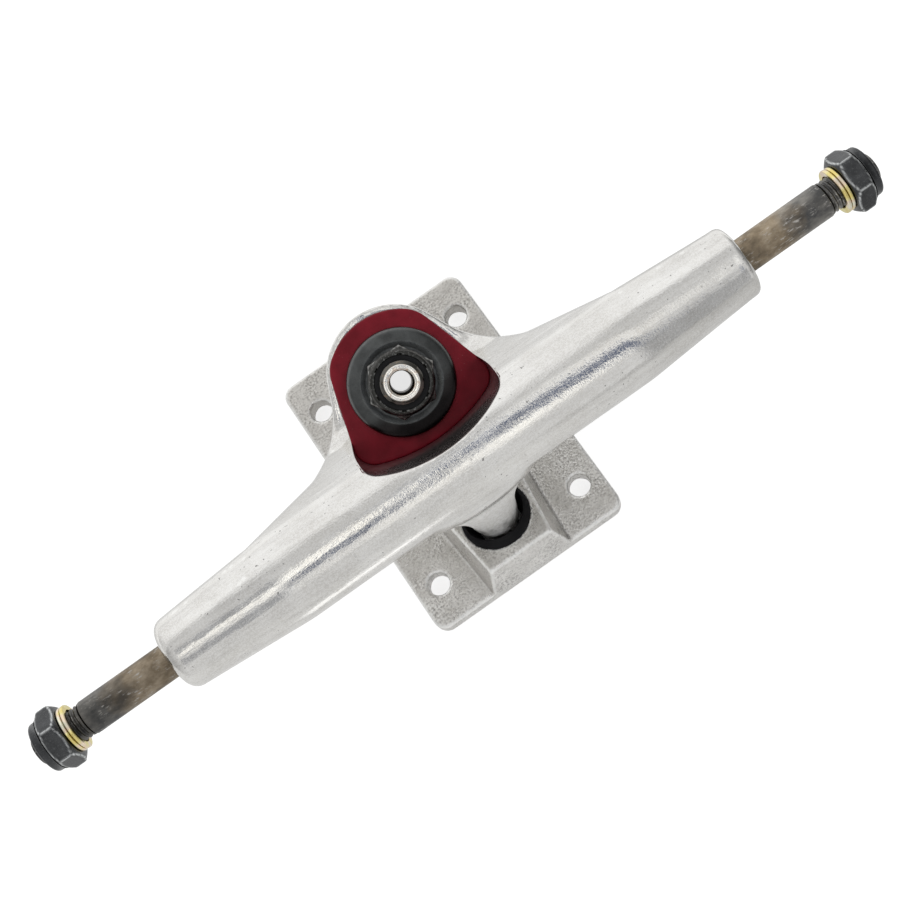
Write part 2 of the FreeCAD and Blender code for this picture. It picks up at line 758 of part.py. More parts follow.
def axle_end_parts(side, name):
    inner_low = shoulder_x + thread_showing
    inner_high = inner_low + speed_washer_thickness
    outer_low = inner_high + face_gap
    outer_high = outer_low + speed_washer_thickness
    nut_low = outer_high + face_gap
    nut_top = nut_low + axle_nut_hex_height + axle_nut_collar_height
    bore = axle_thread_radius + running
    hole = cylinder(speed_washer_bore_radius, shoulder_x - overrun, nut_low + overrun)
    inner = cylinder(speed_washer_radius, inner_low, inner_high).cut(hole)
    outer = cylinder(speed_washer_radius, outer_low, outer_high).cut(hole)
    nut = lock_nut(
        axle_nut_across_flats,
        axle_nut_hex_height,
        axle_nut_collar_radius,
        axle_nut_collar_height,
        bore,
        nut_low,
    )
    return {
        name + "_inner_speed_washer": at_axle_end(inner, side),
        name + "_outer_speed_washer": at_axle_end(outer, side),
        name + "_axle_nut": at_axle_end(nut, side),
        name + "_axle_nut_insert": at_axle_end(nut_insert(bore, nut_top), side),
    }


def main():
    os.makedirs("parts", exist_ok=True)
    pieces = {
        "baseplate": baseplate(),
        "pivot_cup": pivot_cup(),
        "kingpin": kingpin(),
        "bottom_washer": bottom_washer(),
        "bottom_bushing": bottom_bushing(),
        "hanger": hanger(),
        "axle": axle(),
        "top_bushing": top_bushing(),
        "top_washer": top_washer(),
        "kingpin_nut": kingpin_nut(),
        "kingpin_nut_insert": kingpin_nut_insert(),
    }
    pieces.update(axle_end_parts(-1, "left"))
    pieces.update(axle_end_parts(1, "right"))
    for name, shape in pieces.items():
        shape.exportStep("parts/" + name + ".step")
        print(name, len(shape.Solids), shape.isValid(), round(shape.Volume, 1))
    print("steering axis", PIVOT, RING_CENTRE)


main()
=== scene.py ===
import bmesh
import bpy
import math
from mathutils import Matrix, Vector
from mathutils.bvhtree import BVHTree


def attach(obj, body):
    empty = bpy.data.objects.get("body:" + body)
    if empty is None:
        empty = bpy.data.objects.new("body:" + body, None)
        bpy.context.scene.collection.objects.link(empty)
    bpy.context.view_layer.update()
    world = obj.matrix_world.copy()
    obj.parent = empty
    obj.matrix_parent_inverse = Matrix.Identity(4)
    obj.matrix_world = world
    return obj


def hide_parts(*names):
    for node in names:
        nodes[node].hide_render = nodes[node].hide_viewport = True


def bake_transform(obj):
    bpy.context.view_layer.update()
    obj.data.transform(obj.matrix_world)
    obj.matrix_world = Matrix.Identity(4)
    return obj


# A skateboard truck on a white table. Lengths are millimetres in the CAD's frame. The camera, the lamps,
# the table and the places that a material asks for are in metres.
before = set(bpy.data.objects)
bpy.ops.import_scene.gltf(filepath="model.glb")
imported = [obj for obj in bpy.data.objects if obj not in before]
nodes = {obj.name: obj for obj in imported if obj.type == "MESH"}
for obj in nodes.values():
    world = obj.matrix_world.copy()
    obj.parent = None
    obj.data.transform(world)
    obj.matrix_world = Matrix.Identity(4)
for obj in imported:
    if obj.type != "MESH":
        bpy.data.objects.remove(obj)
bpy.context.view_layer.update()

MM = 0.001
TURN = 2 * math.pi
SHARP_EDGE = math.radians(50)

# The kingpin leans towards the pivot. Its heights are taken along it, from where it meets the table
KINGPIN_FOOT = (0, 23.3, 0)
KINGPIN_LEAN = math.radians(21.6)
KINGPIN_RADIUS = 4.7625
KINGPIN_HOLE = KINGPIN_RADIUS + 0.06
KINGPIN_BORE = 2.6
KINGPIN_END_CHAMFER = 0.7
KINGPIN_THREAD_START = 44.0
KINGPIN_HEAD = (3.9, 9.5)
KINGPIN_FLATS = 14.29

# The pivot cup's mouth, which the hanger's nose sits in
PIVOT = (0, -25.1, 10.5)
PIVOT_SLOPE = math.radians(10.7)

# The axle lies along X in the hanger's barrel
AXLE_SPOT = (0, -19.22, 53.72)
AXLE_RADIUS = 3.969
AXLE_SHOULDER = 95.5
AXLE_THREAD_RADIUS = 3.775
AXLE_HOLE = AXLE_THREAD_RADIUS + 0.06
HANGER_HALF = 73.5
BARREL_RADIUS = 10.35
END_RADIUS = 8.3
END_ROUND = 2.8
END_CRISPNESS = 4.5
SPEED_WASHER_BORE = 4.05
BUSHING_FILL = 1.018

THREAD_PITCH = 1.058
THREAD_DEPTH = 0.5

# Lock nuts: width over the flats, the collar's radius, the share of the height that is hexagonal
KINGPIN_NUT = (KINGPIN_FLATS, 7.0, 0.714)
AXLE_NUT = (12.7, 5.9, 0.70)
AXLE_NUT_DEGREES = (("left", 6.0), ("right", -18.0))
NUT_CHAMFER = 1.3
COLLAR_ROUND = 0.7
INSERT_WALL = 1.1
NOTCH_CIRCLE = 5.85
NOTCH_RADIUS = 0.55
NOTCH_DEPTH = 0.45

# The stem's flare under the barrel: height, middle, the CAD's outer face, the casting's outer face and
# half width
FLARE = (
    (24.0, -22.0, -28.60, -28.60, 7.4),
    (34.0, -21.1, -28.55, -28.65, 11.5),
    (40.0, -20.5, -29.90, -29.20, 16.0),
    (44.0, -20.1, -31.00, -29.80, 20.0),
    (47.5, -19.8, -32.10, -30.15, 25.0),
    (51.0, -19.5, -30.30, -30.15, 30.0),
    (54.5, -19.3, -29.80, -29.75, 35.0),
    (57.5, -19.2, -28.90, -28.90, 40.0),
)

# The skin over the seat's wall: a radius inside the wall, where the skin starts, the lowest place of the
# wall's top edge, how steeply the wall may lean out below it, and how far the skin stands off the wall
LIP_INSIDE = 10.0
LIP_FOOT = 37.0
LIP_LOWEST = 39.0
LIP_LEAN = 0.4
LIP_PROUD = 0.1
LIP_WALL_ROWS = 29
LIP_SEGMENTS = 240

# Its edge, as steps out and up from the wall's top edge, and how much wider the lip is than that
LIP_EDGE = ((-0.07, -0.13), (0.02, -0.03), (0.16, 0.01))
LIP_WIDTH = 0.79

ON_KINGPIN = Matrix.Translation(Vector(KINGPIN_FOOT) * MM) @ Matrix.Rotation(KINGPIN_LEAN, 4, "X")
OFF_KINGPIN = ON_KINGPIN.inverted()
ON_AXLE = {
    side: Matrix.Translation(Vector(AXLE_SPOT) * MM) @ Matrix.Rotation(way * math.pi / 2, 4, "Y")
    for side, way in (("left", -1), ("right", 1))
}
IN_PIVOT_CUP = Matrix.Translation(Vector(PIVOT) * MM) @ Matrix.Rotation(-PIVOT_SLOPE, 4, "X")


# Shapes

def measure(node, place):
    """A node's lowest and highest point and its reach, taken on place's own upright."""
    back = place.inverted()
    spots = [back @ nodes[node].matrix_world @ v.co for v in nodes[node].data.vertices]
    low = min(p.z for p in spots) / MM
    high = max(p.z for p in spots) / MM
    reach = max(p.xy.length for p in spots) / MM
    return low, high, reach


def smoothstep(value, low, high):
    share = min(1.0, max(0.0, (value - low) / (high - low)))
    return share * share * (3 - 2 * share)


def rounded(corners, steps=4):
    """A closed outline of (radius, height) spots, each corner turned by an arc of its own radius."""
    spots = []
    for i, (across, up, radius) in enumerate(corners):
        here = Vector((across, up))
        back = (Vector(corners[i - 1][:2]) - here).normalized()
        ahead = (Vector(corners[(i + 1) % len(corners)][:2]) - here).normalized()
        half = back.angle(ahead) / 2
        centre = here + (back + ahead).normalized() * (radius / math.sin(half))
        start = here + back * (radius / math.tan(half)) - centre
        end = here + ahead * (radius / math.tan(half)) - centre
        first = math.atan2(start.y, start.x)
        sweep = (math.atan2(end.y, end.x) - first + math.pi) % TURN - math.pi
        for k in range(steps + 1):
            angle = first + sweep * k / steps
            spots.append((centre.x + radius * math.cos(angle), centre.y + radius * math.sin(angle)))
    return spots


def skin(name, rows, place, segments=96, closed=True):
    """A mesh turned about place's upright. A row is (radius, height), or a function of the angle.

    A row may have a third number, how far the finish is rubbed off there; on the nuts' chamfer edges and the
    cup washer's rim it also sets a painted highlight."""
    shape = bmesh.new()
    rubbed_and_highlit = shape.verts.layers.float.new("rubbed_and_highlit")
    loops = []
    for row in rows:
        loop = []
        for i in range(segments):
            angle = TURN * i / segments
            radius, height, *worn = row(angle) if callable(row) else row
            spot = Vector((radius * math.cos(angle), radius * math.sin(angle), height)) * MM
            vertex = shape.verts.new(place @ spot)
            vertex[rubbed_and_highlit] = worn[0] if worn else 0.0
            loop.append(vertex)
        loops.append(loop)
    following = loops[1:] + loops[:1] if closed else loops[1:]
    for low, high in zip(loops, following):
        for i in range(segments):
            shape.faces.new((low[i - 1], low[i], high[i], high[i - 1]))
    if not closed:
        shape.faces.new(loops[0])
        shape.faces.new(loops[-1])
    bmesh.ops.recalc_face_normals(shape, faces=shape.faces)
    mesh = bpy.data.meshes.new(name)
    shape.to_mesh(mesh)
    shape.free()
    mesh.shade_smooth()
    mesh.set_sharp_from_angle(angle=SHARP_EDGE)
    piece = bpy.data.objects.new(name, mesh)
    bpy.context.scene.collection.objects.link(piece)
    return piece


def settle(piece):
    """Turns a piece's modifiers into its mesh."""
    shown = piece.evaluated_get(bpy.context.evaluated_depsgraph_get())
    mesh = bpy.data.meshes.new_from_object(shown)
    piece.modifiers.clear()
    piece.data = mesh
    mesh.shade_smooth()


def add_smooth(piece, rounds):
    smooth = piece.modifiers.new("smooth", "SMOOTH")
    smooth.factor = 0.5
    smooth.iterations = rounds
    return smooth


def cast_copy(name, node, voxel, rounds):
    """A copy of a solid whose edges and corners are rounded as a casting's or a moulding's are."""
    piece = bpy.data.objects.new(name, nodes[node].data.copy())
    bpy.context.scene.collection.objects.link(piece)
    remesh = piece.modifiers.new("remesh", "REMESH")
    remesh.mode = "VOXEL"
    remesh.voxel_size = voxel * MM
    add_smooth(piece, rounds)
    settle(piece)
    return piece


def melt(piece, weigh, rounds):
    """Smooths a piece where weigh says, as metal fills the inside corners of a casting."""
    group = piece.vertex_groups.new(name="melted")
    for vertex in piece.data.vertices:
        weight = weigh(vertex.co / MM)
        if weight > 0:
            group.add([vertex.index], weight, "REPLACE")
    add_smooth(piece, rounds).vertex_group = group.name
    settle(piece)
    piece.vertex_groups.clear()


def search(mesh):
    """A search tree over all faces of a mesh."""
    faces = [list(face.vertices) for face in mesh.polygons]
    return BVHTree.FromPolygons([v.co for v in mesh.vertices], faces)


def inner_faces(node, place, near, far, start):
    """A search tree over the faces of a node that look towards place's upright, from start up."""
    mesh = nodes[node].data
    back = place.inverted()
    turn = back.to_3x3()
    walls = []
    for face in mesh.polygons:
        centre = back @ face.center / MM
        inward = -(turn @ face.normal).xy.dot(centre.xy.normalized())
        if inward > 0.4 and near < centre.xy.length < far and centre.z > start:
            walls.append(list(face.vertices))
    return BVHTree.FromPolygons([v.co for v in mesh.vertices], walls)


def press(piece, tree):
    """Lays the skin of a rounded copy on the CAD's faces again, apart from their edges."""
    for vertex in piece.data.vertices:
        nearest, _, _, far = tree.find_nearest(vertex.co)
        vertex.co = vertex.co.lerp(nearest, 1 - smoothstep(far / MM, 0.15, 0.5))


def outline(node, place, inside, height):
    """How far a node reaches from place's upright at a height, by angle, looked up from inside."""
    tree = search(nodes[node].data)
    turn = place.to_3x3()

    def at(angle):
        way = Vector((math.cos(angle), math.sin(angle), 0))
        start = place @ ((way * inside + Vector((0, 0, height))) * MM)
        return inside + tree.ray_cast(start, turn @ way)[3] / MM

    return at


def belong(piece, body, node):
    """Lets a piece move with a body and stand for a CAD node, which it hides."""
    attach(piece, body)
    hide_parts(node)
    return piece


# Castings and the moulded pivot cup

def shape_flare(piece):
    """Lets the stem's flare run into the barrel without the CAD's ledge."""
    for vertex in piece.data.vertices:
        x, y, z = vertex.co / MM
        if not FLARE[0][0] < z < FLARE[-1][0] or y > -21 or abs(x) > 34:
            continue
        above = next(i for i, row in enumerate(FLARE) if row[0] > z)
        low, high = FLARE[above - 1], FLARE[above]
        share = (z - low[0]) / (high[0] - low[0])
        middle, old, new, half = [a + (b - a) * share for a, b in zip(low[1:], high[1:])]
        up = abs(z - AXLE_SPOT[2])
        barrel = AXLE_SPOT[1] - math.sqrt(BARREL_RADIUS ** 2 - up ** 2) if up < BARREL_RADIUS else middle
        if y < barrel - 0.05:
            y = min(middle + (y - middle) * (middle - new) / (middle - old), barrel)
        if abs(x) < half and z > 43:
            y = min(y, middle + (new - middle) * math.sqrt(1 - (x / half) ** 2))
        vertex.co.y = y * MM


def on_flare(spot):
    """Weighs the stem's outer side and the barrel's above it."""
    side = 1 - smoothstep(abs(spot.x), 30, 37)
    height = smoothstep(spot.z, 20, 28) * (1 - smoothstep(spot.z, 56, 60))
    return side * height * smoothstep(-spot.y, 21, 24)


def in_corner(spot):
    """Weighs the inside corners where the neck leaves the ring."""
    local = OFF_KINGPIN @ (spot * MM) / MM
    side = smoothstep(abs(local.x), 15.5, 18) * (1 - smoothstep(abs(local.x), 30, 36))
    height = smoothstep(local.z, 38, 42) * (1 - smoothstep(local.z, 60, 66))
    return side * height * (1 - smoothstep(local.y, 2, 6))


def near_seat(tree):
    """Weighs the rim beside the seat's wall, but not the wall."""

    def weigh(spot):
        far = tree.find_nearest(spot * MM)[3] / MM
        return smoothstep(far, 0.25, 0.5) * (1 - smoothstep(far, 1.3, 2.2))

    return weigh


def sharpen_end(piece, tree):
    """Makes the right end of the hanger crisper than the left, as in the photograph."""
    start, core = HANGER_HALF - END_ROUND, END_RADIUS - END_ROUND
    for vertex in piece.data.vertices:
        weight = smoothstep(vertex.co.x / MM, 64.0, 68.0)
        if weight == 0:
            continue
        spot = vertex.co.lerp(tree.find_nearest(vertex.co)[0], weight) / MM
        across = (spot - Vector(AXLE_SPOT)).yz
        along, out = spot.x - start, across.length - core
        if along > 0 and out > 0:
            far = math.hypot(along, out)
            grow = ((along / far) ** END_CRISPNESS + (out / far) ** END_CRISPNESS) ** (-1 / END_CRISPNESS)
            across *= (core + out * grow) / across.length
            spot = Vector((start + along * grow, AXLE_SPOT[1] + across.x, AXLE_SPOT[2] + across.y))
        vertex.co = spot * MM


def seat_columns(casting):
    """The seat's wall and its lip as a column of (radius, height) spots for each angle about the kingpin.

    The wall is taken from the CAD's own faces, and the lip comes down on the rounded copy."""
    wall = search(nodes["hanger"].data)
    rim = search(casting.data)
    turn = ON_KINGPIN.to_3x3()
    down = turn @ Vector((0, 0, -1))

    def spot(angle, radius, height):
        return ON_KINGPIN @ (Vector((radius * math.cos(angle), radius * math.sin(angle), height)) * MM)

    def reach(angle, height):
        way = turn @ Vector((math.cos(angle), math.sin(angle), 0))
        far = wall.ray_cast(spot(angle, LIP_INSIDE, height), way)[3]
        return math.inf if far is None else LIP_INSIDE + far / MM

    def landed(angle, radius, height, above=3.0):
        far = rim.ray_cast(spot(angle, radius, height + above), down)[3]
        return height - 0.5 if far is None else max(height + above - far / MM, height - 0.6)

    def top_edge(angle):
        height, step = LIP_LOWEST, 0.4
        while step > 0.02:
            if reach(angle, height + step) - reach(angle, height) > LIP_LEAN * step:
                step /= 2
            else:
                height += step
        return height

    columns = []
    for i in range(LIP_SEGMENTS):
        angle = TURN * i / LIP_SEGMENTS
        top = top_edge(angle)
        edge = reach(angle, top)
        climb = (top - 0.3 - LIP_FOOT) / (LIP_WALL_ROWS - 1)
        heights = [LIP_FOOT + climb * k for k in range(LIP_WALL_ROWS)]
        column = [(reach(angle, height) - LIP_PROUD, height) for height in heights]
        column += [(edge + out, top + up) for out, up in LIP_EDGE]
        start = column[-1][0]
        drop = landed(angle, start + LIP_WIDTH, top) - top
        column += [(start + LIP_WIDTH * k / 3, top + drop * k / 3 + 0.02 * (3 - k)) for k in (1, 2, 3)]
        column.append((start + LIP_WIDTH + 0.1, top + drop - 0.7))
        columns.append(column)
    return columns


def eased(columns):
    """Averages every column with the one on each side."""
    made = []
    for beside in zip(columns[-1:] + columns[:-1], columns, columns[1:] + columns[:1]):
        made.append([tuple((a + 2 * b + c) / 4 for a, b, c in zip(*spots)) for spots in zip(*beside)])
    return made


def seat_lip(casting):
    """A fine skin over the seat's wall and its lip, which the rounded copy is too coarse for."""
    columns = eased(eased(seat_columns(casting)))

    def row(k):
        return lambda angle: columns[round(angle / TURN * LIP_SEGMENTS) % LIP_SEGMENTS][k]

    piece = skin("hanger_seat_lip", [row(k) for k in range(len(columns[0]))], ON_KINGPIN, LIP_SEGMENTS)
    # This mark tells the casting where to paint the seat's wall a dark reddish grey, a painted reflection of
    # the red bushing and painted shade, less of it towards the wall's top.
    mark = piece.data.attributes.new("seat_wall_painted_shade", "FLOAT", "POINT")
    for index, spot in enumerate(mark.data):
        level, column = divmod(index, LIP_SEGMENTS)
        wall = 1.0 if level < LIP_WALL_ROWS else 0.5 if level == LIP_WALL_ROWS else 0.0
        spot.value = wall * (1 - 0.3 * smoothstep(columns[column][level][1], 52.0, 72.0))
    return belong(piece, "hanger", "hanger")


def hanger():
    """The hanger's casting, a rounded copy of the solid that keeps the seat's wall."""
    piece = cast_copy("hanger_casting", "hanger", voxel=0.42, rounds=8)
    shape_flare(piece)
    melt(piece, on_flare, rounds=60)
    seat = inner_faces("hanger", ON_KINGPIN, near=5.0, far=24.0, start=36.5)
    press(piece, seat)
    melt(piece, near_seat(seat), rounds=6)
    melt(piece, in_corner, rounds=20)
    sharpen_end(piece, search(nodes["hanger"].data))
    return belong(piece, "hanger", "hanger")


def baseplate():
    """The baseplate's casting, a rounded copy of the solid that keeps the pivot cup's bore."""
    piece = cast_copy("baseplate_casting", "baseplate", voxel=0.36, rounds=4)
    press(piece, inner_faces("baseplate", IN_PIVOT_CUP, near=7.0, far=9.5, start=-9.0))
    return belong(piece, "baseplate", "baseplate")


def pivot_cup():
    piece = cast_copy("pivot_cup_urethane", "pivot_cup", voxel=0.25, rounds=3)
    return belong(piece, "baseplate", "pivot_cup")


# Turned and threaded pieces

def thread(start, end, radius, run_out=1.5):
    """Rows of a right-handed thread between two heights, fading in at its start."""
    count = math.ceil((end - start) / (THREAD_PITCH / 8))

    def row(height):
        depth = THREAD_DEPTH * min(1.0, (height - start) / run_out)

        def at(angle):
            across = abs(2 * ((height / THREAD_PITCH - angle / TURN) % 1) - 1)
            cut = min(1.0, max(0.0, (across - 0.15) / 0.7))
            return radius - depth * cut, height

        return at

    return [row(start + (end - start) * k / count) for k in range(count + 1)]


def hexagon_row(height, flats, limit, turn=0.0, soft=0.2):
    """One row of a hexagon with soft corners, held inside a round of radius limit, worn at its edges, which
    also carry a painted highlight.
    """

    def at(angle):
        face = (angle - turn) % (TURN / 6) - TURN / 12
        flat = flats / 2 / math.cos(face)
        lower = min(flat, limit)
        sides = [math.exp((lower - side) / soft) for side in (flat, limit)]
        radius = lower - soft * math.log(sum(sides))
        corner = (TURN / 12 - abs(face)) * flat
        turned = flat - limit
        # The line where the chamfer meets the flats, and the corners, are marked: rubbed edges and a painted
        # highlight.
        worn = math.exp(-((turned / 0.2) ** 2))
        if turned < 0:
            worn = max(worn, 0.8 * math.exp(-((corner / 0.22) ** 2)))
        return radius, height, worn

    return at


def hexagon_rows(low, high, flats, chamfer, turn=0.0, count=16):
    """A hexagonal side from low to high, turned down by a cone at both ends."""
    corner = flats / math.sqrt(3)
    rows = []
    for k in range(count + 1):
        height = low + (high - low) * (1 - math.cos(math.pi * k / count)) / 2
        depth = min(height - low, high - height)
        rows.append(hexagon_row(height, flats, corner - chamfer + 1.4 * depth, turn))
    return rows


def notched(radius, height):
    """A row on the nut's top with six small punched notches, rubbed round their edges."""

    def at(angle):
        away = (TURN / 12 - abs(angle % (TURN / 6) - TURN / 12)) * radius
        far = math.hypot(away, radius - NOTCH_CIRCLE)
        depth = NOTCH_DEPTH * math.exp(-((far / NOTCH_RADIUS) ** 4))
        worn = 0.4 * math.exp(-(((far - NOTCH_RADIUS - 0.3) / 0.2) ** 2))
        return radius, height - depth, worn

    return at


def lock_nut(name, node, place, form, bore, turn=0.0, punched=False):
    """A hexagon nut with a rounded collar that holds a nylon ring. Its node and its body have one name."""
    flats, collar, hex_share = form
    low, top, _ = measure(node, place)
    hex_top = low + hex_share * (top - low)
    insert_low = top - 2.0
    seat = bore + INSERT_WALL + 0.02
    brim = collar - COLLAR_ROUND
    rows = [(bore, low + 0.3), (bore + 0.3, low)]
    rows += hexagon_rows(low, hex_top, flats, NUT_CHAMFER, turn)
    rows += [(collar + 0.35, hex_top), (collar + 0.05, hex_top + 0.3)]
    for k in range(6):
        angle = math.pi / 2 * (1 - k / 5)
        up = top - COLLAR_ROUND + COLLAR_ROUND * math.cos(angle)
        rows.append((brim + COLLAR_ROUND * math.sin(angle), up))
    if punched:
        rows += [notched(brim + (seat + 0.1 - brim) * k / 8, top) for k in range(1, 9)]
    rows += [(seat, top - 0.1), (seat, insert_low), (bore, insert_low)]
    return belong(skin(name, rows, place, segments=240), node, node)


def cup_washer():
    """The domed washer, with a rolled rim and a shallow dish where the nut sits."""
    low, crest, reach = measure("top_washer", ON_KINGPIN)
    flat = 8.3
    dish = crest - 0.16
    profile = rounded([
        (KINGPIN_HOLE, low + 1.5, 0.1),
        (flat, low + 1.5, 0.4),
        (reach - 1.4, low, 0.2),
        (reach, low, 0.25),
        (reach, low + 2.2, 1.75),
        (flat + 0.9, crest + 0.02, 1.2),
        (flat - 0.4, dish, 1.2),
        (KINGPIN_HOLE, dish, 0.15),
    ], steps=6)
    # The rolled rim's top is marked for a painted highlight.
    rows = [(r, h, 0.3 if r > reach - 0.8 and h > low + 1.2 else 0.0) for r, h in profile]
    piece = skin("cup_washer", rows, ON_KINGPIN, segments=128)
    return belong(piece, "top_washer", "top_washer")


def lower_washer():
    low, high, reach = measure("bottom_washer", ON_KINGPIN)
    profile = rounded([
        (KINGPIN_HOLE, low, 0.1),
        (reach, low, 0.5),
        (reach, high, 0.3),
        (reach - 1.0, high, 0.3),
        (reach - 1.0, low + 1.4, 0.3),
        (KINGPIN_HOLE, low + 1.4, 0.1),
    ])
    piece = skin("bottom_cup_washer", profile, ON_KINGPIN, segments=128)
    return belong(piece, "baseplate", "bottom_washer")


def speed_washer(side, layer):
    node = side + "_" + layer + "_speed_washer"
    low, high, reach = measure(node, ON_AXLE[side])
    profile = rounded([
        (SPEED_WASHER_BORE, low, 0.12),
        (reach, low, 0.3),
        (reach, high, 0.3),
        (SPEED_WASHER_BORE, high, 0.12),
    ], steps=5)
    piece = skin(side + "_" + layer + "_washer", profile, ON_AXLE[side])
    return belong(piece, node, node)


def give_way(piece, node):
    """Fixes a bushing's mesh where it stands and hides the CAD node it replaces."""
    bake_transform(piece)
    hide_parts(node)
    return piece


def lower_bushing():
    """The barrel-shaped bushing, pressed a little into its washer, with a mould line round its middle."""
    low, high, reach = measure("bottom_bushing", ON_KINGPIN)
    count = 24
    rows = [(KINGPIN_HOLE, low)]
    for k in range(count + 1):
        share = k / count
        bulge = 0.68 * math.sin(math.pi * share)
        bevel = 0.6 * sum(max(0.0, 1 - 12 * side) ** 2 for side in (share, 1 - share))
        mould_line = 0.08 * math.exp(-(((share - 0.5) * 60) ** 2))
        rows.append((reach - 0.78 + bulge - bevel + mould_line, low + (high - low) * share))
    rows.append((KINGPIN_HOLE, high))
    piece = skin("bottom_bushing_urethane", rows, ON_KINGPIN, segments=128)
    return give_way(piece, "bottom_bushing")


def upper_bushing():
    """The heart-shaped bushing, which fills its seat, with a small bevel and a crown under the washer."""
    low, high, _ = measure("top_bushing", ON_KINGPIN)
    edge = outline("top_bushing", ON_KINGPIN, inside=8.0, height=low + 5.0)
    top = measure("top_washer", ON_KINGPIN)[0] - 0.08
    bevel = 0.55

    def row(inset, height):
        return lambda angle: (edge(angle) * BUSHING_FILL - inset, height)

    rows = [(KINGPIN_HOLE, low), row(0.6, low), row(0.15, low + 0.15), row(0.0, low + 0.6)]
    rows += [row(0.0, low + (top - low) * share) for share in (0.3, 0.6, 0.9)]
    for k in range(7):
        angle = math.pi / 12 * k
        rows.append(row(bevel * (1 - math.cos(angle)), top - bevel * (1 - math.sin(angle))))
    rows += [row(1.2, top), row(2.0, top), (11.6, top), (8.3, high - 0.05), (KINGPIN_HOLE, high - 0.05)]
    piece = skin("top_bushing_urethane", rows, ON_KINGPIN, segments=180)
    return give_way(piece, "top_bushing")


def kingpin():
    """The hollow bolt: a hexagon head in the plate, a plain shank and a threaded, chamfered end."""
    _, end, _ = measure("kingpin", ON_KINGPIN)
    head_low, head_high = KINGPIN_HEAD
    tip = KINGPIN_RADIUS - KINGPIN_END_CHAMFER
    rows = [(KINGPIN_BORE, head_low), (KINGPIN_BORE + 0.5, head_low)]
    rows += hexagon_rows(head_low, head_high, KINGPIN_FLATS, chamfer=0.8, count=10)
    rows += [(KINGPIN_RADIUS + 0.05, head_high), (KINGPIN_RADIUS, head_high + 0.3)]
    rows += thread(KINGPIN_THREAD_START, end - KINGPIN_END_CHAMFER, KINGPIN_RADIUS)
    rows += [(tip + 0.12, end - 0.16), (tip - 0.08, end - 0.1), (tip - 0.16, end - 0.02, 1.0)]
    rows += [(tip - 0.3, end, 1.0), (KINGPIN_BORE + 0.6, end, 1.0), (KINGPIN_BORE + 0.5, end - 0.04, 0.4)]
    rows += [(KINGPIN_BORE + 0.34, end - 0.1, 1.0), (KINGPIN_BORE + 0.1, end - 0.4, 1.0)]
    rows += [(KINGPIN_BORE, end - 0.6, 0.3)]
    return belong(skin("kingpin_bolt", rows, ON_KINGPIN), "baseplate", "kingpin")


def axle():
    """The axle, plain under the wheels and threaded at both ends."""
    _, end, reach = measure("axle", ON_AXLE["right"])
    tip = AXLE_THREAD_RADIUS - 0.7
    half = [
        (reach, HANGER_HALF - 0.6),
        (AXLE_RADIUS, HANGER_HALF - 0.5),
        (AXLE_RADIUS, AXLE_SHOULDER - 0.4),
        (AXLE_RADIUS - 0.12, AXLE_SHOULDER - 0.1),
        (AXLE_RADIUS - 0.45, AXLE_SHOULDER),
        (AXLE_THREAD_RADIUS - 0.5, AXLE_SHOULDER + 0.15),
    ]
    half += thread(AXLE_SHOULDER + 0.2, end - 0.6, AXLE_THREAD_RADIUS, run_out=0.4)
    half += [(tip + 0.15, end - 0.15), (tip - 0.1, end)]

    def mirrored(row):
        if callable(row):
            return lambda angle: (row(-angle)[0], -row(-angle)[1])
        return row[0], -row[1]

    rows = [mirrored(row) for row in reversed(half)] + half
    piece = skin("axle_bar", rows, ON_AXLE["right"], segments=72, closed=False)
    return belong(piece, "hanger", "axle")


# Materials

